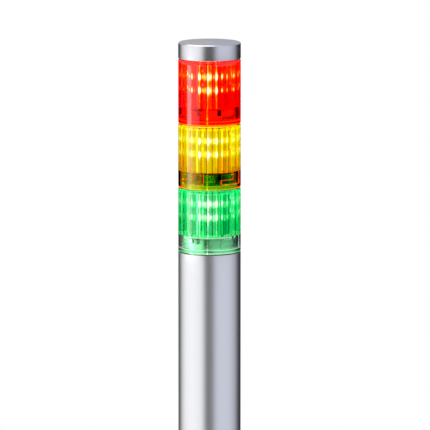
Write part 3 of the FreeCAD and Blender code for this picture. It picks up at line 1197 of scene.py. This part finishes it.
@dataclass(frozen=True)
class LampModule:
    """One lamp module: a clear lens over a carrier with rows of lamps.

    Attributes:
        tier: Which module it is.
        finish: The lens's finish.
        row_lift: How far the plastic lifts the lamps' images, in millimetres.
        carrier: The carrier's plastic.
        disc_light: What the carrier's disc gives back of the lamps' light.
        row_drops: How far the lamp rows lie below the shoulder, in millimetres.
        lamp_strength: How bright the lamps' own packages are.
    """

    tier: Tier
    finish: LensFinish
    row_lift: float
    carrier: Colour = (0.03, 0.03, 0.033)
    disc_light: Colour = BLACK
    row_drops: Range = (7.5, 14.0)
    lamp_strength: float = 1.0

    def node(self, part: str) -> str:
        """The name of one of the module's CAD nodes."""
        return f"{self.tier.value}_{part}"

    def place(self) -> LensPlace:
        """Where the lens stands, from its CAD node and its seal's."""
        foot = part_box(self.node("lens"))[0].z / MM
        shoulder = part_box(self.node("seal"))[0].z / MM - foot
        upper, lower = (shoulder - drop + self.row_lift for drop in self.row_drops)
        return LensPlace(foot, shoulder, (upper, lower))

    def build(self, nodes: dict[str, bpy.types.Object], shared: dict[str, bpy.types.Material]) -> None:
        """Dresses the module and adds its small parts.

        Args:
            nodes: The frame's nodes.
            shared: Materials that every module uses.
        """
        colours = self.finish.colours
        place = self.place()
        disc_top = place.foot + self.finish.skirt
        strip = Board(self.node("lamp_strip"), (0.05, 0.05, 0.055), (0.12, 0.12, 0.13), colours.lamp)
        carrier = CarrierFinish(
            self.node("carrier_plastic"), disc_top, self.carrier, colours.lamp, self.disc_light,
        )
        finishes = {
            "lens": LensPainter(self.node("lens_plastic"), self.finish, place),
            "leds": LampGlow(self.node("lamp_light"), colours.lamp, self.lamp_strength),
            "led_carrier": carrier,
            "led_strips": strip,
            "seal": SealFinish(self.node("seal_silicone"), colours.leak),
        }
        for part, finish in finishes.items():
            dress([self.node(part)], finish.material(), nodes)
        dress([self.node("spring_board"), self.node("contact_board")], shared["board"], nodes)
        dress([self.node("contact_springs")], shared["bronze"], nodes)
        dress([self.node("contact_pads")], shared["gold"], nodes)
        dress([self.node("unit_screw")], shared["zinc"], nodes)
        StripParts(self.tier, colours.lamp, self.row_drops).build(shared["zinc"], shared["black"])


# ---------------------------------------------------------------------------------------- studio


@dataclass(frozen=True)
class CardZone:
    """One zone of the ring of cards: its upper edge and its brightness round the ring.

    Attributes:
        top: Height of its upper edge in millimetres.
        profile: Brightness by the angle from the front in degrees, + to the right.
    """

    top: float
    profile: tuple[Range, ...]

    def light(self, graph: Graph, turn: Number) -> Number:
        """The zone's brightness.

        Args:
            graph: The cards' material.
            turn: The angle in degrees.

        Returns:
            The brightness at that angle.
        """
        top = max(corner[1] for corner in self.profile)
        corners = [(angle / FULL_TURN + 0.5, value / top) for angle, value in self.profile]
        return graph.curve(turn.step(-FULL_TURN / 2, FULL_TURN / 2, Fade.SHARP), corners) * top


def tall_card(top: float, outer: float, bright: float, inner: float, far: float) -> CardZone:
    """A black zone with a bright strip to the left and a card beside it that dims from inner to far."""
    angles = (-180.0, -78.0, -76.0, -70.0, -60.0, -57.0, -34.0, -30.0, 180.0)
    return CardZone(top, tuple(zip(angles, (0.0, 0.0, outer, bright, bright, inner, far, 0.0, 0.0))))


@dataclass(frozen=True)
class Studio:
    """Cards, lamps, floor and world.

    A ring of white and black cards stands close round the tower, as for any polished product. Only
    reflected and refracted rays meet it.

    Attributes:
        ring_radius: Distance of the cards from the tower's axis.
        ring_height: Height of the cards.
        cool_side: Angles between which the cards turn to a cooler white.
        cool: That white.
        floor_radius: Radius of the floor.
        floor_fade: Distances in millimetres between which the floor goes over into the ground.
        world_light: How bright the world is to rays that scatter.
        lamp_size: Side of a lamp.
        lamp_aim: Height that the lamps face.
        zones: The cards' zones from the bottom up.
    """

    ring_radius: float = 0.040
    ring_height: float = 0.45
    cool_side: Range = (2.0, 20.0)
    cool: Colour = (0.93, 0.955, 1.08)
    floor_radius: float = 0.6
    floor_fade: Range = (110.0, 215.0)
    world_light: float = 0.45
    lamp_size: float = 0.8
    lamp_aim: float = 0.12
    zones: tuple[CardZone, ...] = (
        CardZone(149.0, (
            (-180.0, 0.02), (-140.0, 0.03), (-118.0, 0.10), (-100.0, 0.74), (-82.0, 1.11), (-62.0, 1.18),
            (-42.0, 1.14), (-27.0, 1.06), (-21.0, 0.93), (-10.0, 0.15), (8.0, 0.23), (18.0, 0.69),
            (30.0, 0.77), (62.0, 0.76), (88.0, 0.52), (105.0, 0.13), (120.0, 0.01), (180.0, 0.02),
        )),
        CardZone(154.2, (
            (-180.0, 0.02), (-118.0, 0.1), (-100.0, 0.8), (-80.0, 1.7), (-70.0, 4.2), (-60.0, 4.2),
            (-57.0, 2.5), (-45.0, 1.9), (-34.0, 1.4), (-24.0, 1.0), (-19.0, 0.3), (-14.0, 0.04),
            (-7.0, 0.05), (0.0, 0.5), (8.0, 0.62), (62.0, 0.66), (88.0, 0.35), (105.0, 0.08),
            (120.0, 0.01), (180.0, 0.01),
        )),
        tall_card(177.6, 1.6, 5.2, 1.2, 0.9),
        tall_card(208.0, 0.9, 2.9, 0.7, 0.35),
        tall_card(238.0, 1.6, 5.2, 1.3, 0.9),
        CardZone(253.0, (
            (-180.0, 0.02), (-140.0, 0.03), (-118.0, 0.06), (-100.0, 0.78), (-82.0, 1.22), (-62.0, 1.32),
            (-42.0, 1.32), (-27.0, 1.20), (-22.0, 0.88), (-13.0, 0.10), (10.0, 0.11), (22.0, 0.74),
            (30.0, 0.90), (62.0, 0.88), (88.0, 0.50), (105.0, 0.02), (120.0, 0.01), (180.0, 0.01),
        )),
        CardZone(285.0, ((-180.0, 0.53), (180.0, 0.53))),
        CardZone(440.0, (
            (-180.0, 0.6), (-150.0, 1.9), (-60.0, 1.9), (-20.0, 1.1), (60.0, 0.7), (180.0, 0.6),
        )),
        CardZone(500.0, ((-180.0, 2.6), (180.0, 2.6))),
    )

    def cards(self) -> None:
        """Builds the ring of cards, with a lid and no floor."""
        mesh = bmesh.new()
        bmesh.ops.create_cone(
            mesh, cap_ends=True, segments=180, radius1=self.ring_radius, radius2=self.ring_radius,
            depth=self.ring_height,
        )
        bmesh.ops.translate(mesh, verts=mesh.verts, vec=(0, 0, self.ring_height / 2))
        bottom = [face for face in mesh.faces if face.calc_center_median().z < MM]
        bmesh.ops.delete(mesh, geom=bottom, context="FACES_ONLY")
        graph = Graph("cards")
        point = graph.polar()
        light = self.zones[0].light(graph, point.turn)
        for below, zone in zip(self.zones, self.zones[1:]):
            higher = graph.maths("GREATER_THAN", point.height, below.top)
            light = graph.mix(higher, light, zone.light(graph, point.turn))
        glow = graph.node("Emission")
        graph.put(glow.inputs["Strength"], light)
        graph.put(glow.inputs["Color"], graph.blend(point.turn.step(*self.cool_side), WHITE, self.cool))
        graph.surface(glow.outputs[0])
        cards = make_object("cards", mesh, graph.material)
        cards.visible_camera = False
        cards.visible_diffuse = False
        cards.visible_shadow = False

    def floor(self) -> None:
        """Builds a pale floor that fades into the white ground."""
        mesh = bmesh.new()
        bmesh.ops.create_circle(mesh, cap_ends=True, segments=96, radius=self.floor_radius)
        graph = Graph("floor")
        graph.set(Base_Color=(0.86, 0.86, 0.86), Roughness=0.9)
        ground = graph.node("Emission")
        mix = graph.node("MixShader")
        graph.put(mix.inputs[0], graph.polar().distance.step(*self.floor_fade))
        graph.tree.links.new(graph.shader.outputs[0], mix.inputs[1])
        graph.tree.links.new(ground.outputs[0], mix.inputs[2])
        graph.surface(mix.outputs[0])
        floor = make_object("floor", mesh, graph.material)

    def world(self) -> None:
        """Sets a white ground for what looks at it, and a soft grey light for the rest."""
        world = bpy.data.worlds.new("studio")
        bpy.context.scene.world = world
        world.use_nodes = True
        tree = Tree(world.node_tree)
        path = tree.node("LightPath")
        kinds = ("Is Camera Ray", "Is Glossy Ray", "Is Transmission Ray")
        camera, glossy, through = (Number(tree, path.outputs[kind]) for kind in kinds)
        background = world.node_tree.nodes["Background"]
        seen = camera.most(glossy).most(through)
        tree.put(background.inputs["Strength"], seen.level(self.world_light, 1.0))
        tree.put(background.inputs["Color"], WHITE)

    def lamp(self, name: str, place: Vector, power: float) -> None:
        """Adds a soft area lamp that faces the tower.

        Args:
            name: Its name.
            place: Where it stands.
            power: Its power in watts.
        """
        data = bpy.data.lights.new(name, "AREA")
        data.shape = "SQUARE"
        data.size = self.lamp_size
        data.energy = power
        lamp = bpy.data.objects.new(name, data)
        lamp.location = place
        lamp.rotation_euler = (Vector((0, 0, self.lamp_aim)) - place).to_track_quat("-Z", "Y").to_euler()
        lamp.visible_camera = False
        lamp.visible_glossy = False
        bpy.context.scene.collection.objects.link(lamp)

    def build(self) -> None:
        """Sets the whole studio up."""
        self.cards()
        self.floor()
        self.world()
        self.lamp("key_lamp", Vector((-0.9, -0.9, 1.0)), 9.0)
        self.lamp("fill_lamp", Vector((1.0, -0.8, 0.7)), 5.0)
        self.lamp("back_lamp", Vector((0.3, 1.1, 1.1)), 5.0)
        LOG.info("studio set up")


@dataclass(frozen=True)
class Viewpoint:
    """The camera: a very long lens, a little above the cap.

    Attributes:
        distance: From the tower's axis.
        rise: Height above the cap.
        aim: Height that it points at.
        focal_length: In millimetres.
        aside: The lens's shift to the side.
    """

    distance: float = 3.0
    rise: float = 0.345
    aim: float = 0.1676
    focal_length: float = 528.0
    aside: float = 0.0128

    def build(self, top: float) -> None:
        """Adds the camera.

        Args:
            top: Height of the tower.
        """
        data = bpy.data.cameras.new("camera")
        data.lens = self.focal_length
        data.shift_x = self.aside
        data.clip_start = 0.01
        camera = bpy.data.objects.new("camera", data)
        height = top + self.rise
        camera.location = (0.0, -self.distance, height)
        drop = math.atan2(height - self.aim, self.distance)
        camera.rotation_euler = (math.pi / 2 - drop, 0.0, 0.0)
        bpy.context.scene.collection.objects.link(camera)
        bpy.context.scene.camera = camera


# ------------------------------------------------------------------------------------------ main


GREEN_LENS = LensFinish(
    neck_even=0.05, seed=5.0, halo=(0.46, 0.05), streak=0.85, windows=((57.0, 2.4, 0.45), (66.0, 2.6, 0.7)),
    colours=LensColours(
        tint=(0.12, 0.90, 0.28), skirt=(0.46, 0.985, 0.60), dark=(0.0, 0.03, 0.0), body=(0.0, 0.68, 0.15),
        bright=(0.02, 0.92, 0.28), warm=(0.62, 0.98, 0.66), hot=(1.9, 1.9, 1.8), lamp=(0.0, 0.12, 0.03),
        edge=(0.02, 0.06, 0.03), rim=(0.05, 0.15, 0.07), rim_lit=(0.22, 0.30, 0.24),
        collar=(0.07, 0.50, 0.03), neck=(0.05, 0.60, 0.05), leak=(0.008, 0.36, 0.07), sill_highlight=(0.12, 0.22, 0.15),
    ),
)
AMBER_LENS = LensFinish(
    neck_even=0.8, seed=5.0, halo=(0.32, 0.7),
    colours=LensColours(
        tint=(0.98, 0.55, 0.02), skirt=(0.98, 0.60, 0.04), dark=(0.45, 0.05, 0.0), body=(0.82, 0.62, 0.0),
        bright=(0.76, 1.0, 0.0), warm=(0.80, 1.15, 0.0), hot=(2.0, 2.0, 1.7), lamp=(0.30, 0.12, 0.0),
        edge=(0.62, 0.05, 0.0), rim=(0.66, 0.03, 0.0), rim_lit=(0.16, 0.14, 0.0),
        collar=(0.74, 0.20, 0.0), neck=(1.1, 0.5, 0.0), leak=(0.75, 0.30, 0.0), card_glow=(0.27, 0.15, 0.0),
    ),
)
RED_LENS = LensFinish(
    neck_even=0.5, seed=3.0, streak=0.3,
    colours=LensColours(
        tint=(0.96, 0.03, 0.03), skirt=(0.96, 0.014, 0.014), dark=(0.60, 0.0, 0.0), body=(1.0, 0.0, 0.0),
        bright=(1.0, 0.10, 0.0), warm=(1.1, 1.45, 0.0), hot=(2.0, 2.3, 1.6), lamp=(0.5, 0.0, 0.0),
        edge=(0.30, 0.0, 0.0), rim=(0.45, 0.01, 0.0), rim_lit=(1.0, 0.20, 0.0),
        collar=(0.9, 0.0, 0.0), neck=(0.8, 0.0, 0.0), leak=(0.9, 0.0, 0.0), sill_highlight=(0.6, 0.004, 0.0),
        skirt_glow=(0.72, 0.0, 0.0),
    ),
)
MODULES = (
    LampModule(
        Tier.GREEN, GREEN_LENS, row_lift=1.2, carrier=(0.7, 0.7, 0.7), disc_light=(0.55, 0.62, 0.58),
    ),
    LampModule(Tier.AMBER, AMBER_LENS, row_lift=0.5, disc_light=(0.05, 0.02, 0.0)),
    LampModule(Tier.RED, RED_LENS, row_lift=0.35, disc_light=(0.55, 0.0, 0.0)),
)


def shared_materials() -> dict[str, bpy.types.Material]:
    """Builds the materials that several sub-assemblies use."""
    finishes = {
        "tube": SatinMetal(),
        "silver": SilverLacquer(),
        "cap": SilverLacquer("cap_lacquer", gate_radius=1.7),
        "head": SilverLacquer("bright_silver", (0.96, 0.96, 0.97), roughness=0.22),
        "rubber": Moulding("seal_rubber", (0.02, 0.02, 0.022), 0.65),
        "board": Board("circuit_board", (0.02, 0.16, 0.07), (0.05, 0.28, 0.12)),
        "gold": BareMetal("gold_contact", (0.90, 0.70, 0.35), 0.2),
        "bronze": BareMetal("spring_bronze", (0.75, 0.52, 0.32), 0.25),
        "zinc": BareMetal("screw_zinc", (0.66, 0.66, 0.68), 0.3),
        "brass": BareMetal("insert_brass", (0.78, 0.62, 0.34), 0.3),
        "black": Moulding("black_moulding", (0.025, 0.025, 0.028), 0.4),
        "terminal": Moulding("terminal_green", (0.03, 0.26, 0.12), 0.45),
        "can": BareMetal("capacitor_can", (0.60, 0.62, 0.66), 0.3),
    }
    return {key: finish.material() for key, finish in finishes.items()}


BODY_PARTS = {
    "tube": ["body_tube"],
    "cap": ["top_cap"],
    "silver": ["base_plug"],
    "head": ["body_head"],
    "rubber": ["body_seal", "base_gasket", "cable_grommet"],
    "brass": ["threaded_inserts"],
    "board": ["control_board", "body_contact_board"],
    "black": ["bus_header", "driver_chips"],
    "gold": ["bus_pins", "body_contact_pads"],
    "can": ["capacitor"],
    "terminal": ["terminal_block"],
}


def main() -> None:
    """Builds the classes in order."""
    logging.basicConfig(level=logging.INFO, format="%(name)s: %(message)s")
    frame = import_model()
    nodes = frame["nodes"]
    shared = shared_materials()
    Viewpoint().build(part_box("top_cap")[1].z)
    Studio().build()
    for key, names in BODY_PARTS.items():
        dress(names, shared[key], nodes)
    for module in MODULES:
        module.build(nodes, shared)
    bpy.context.scene.view_settings.view_transform = "Standard"


if __name__ == "__main__":
    main()
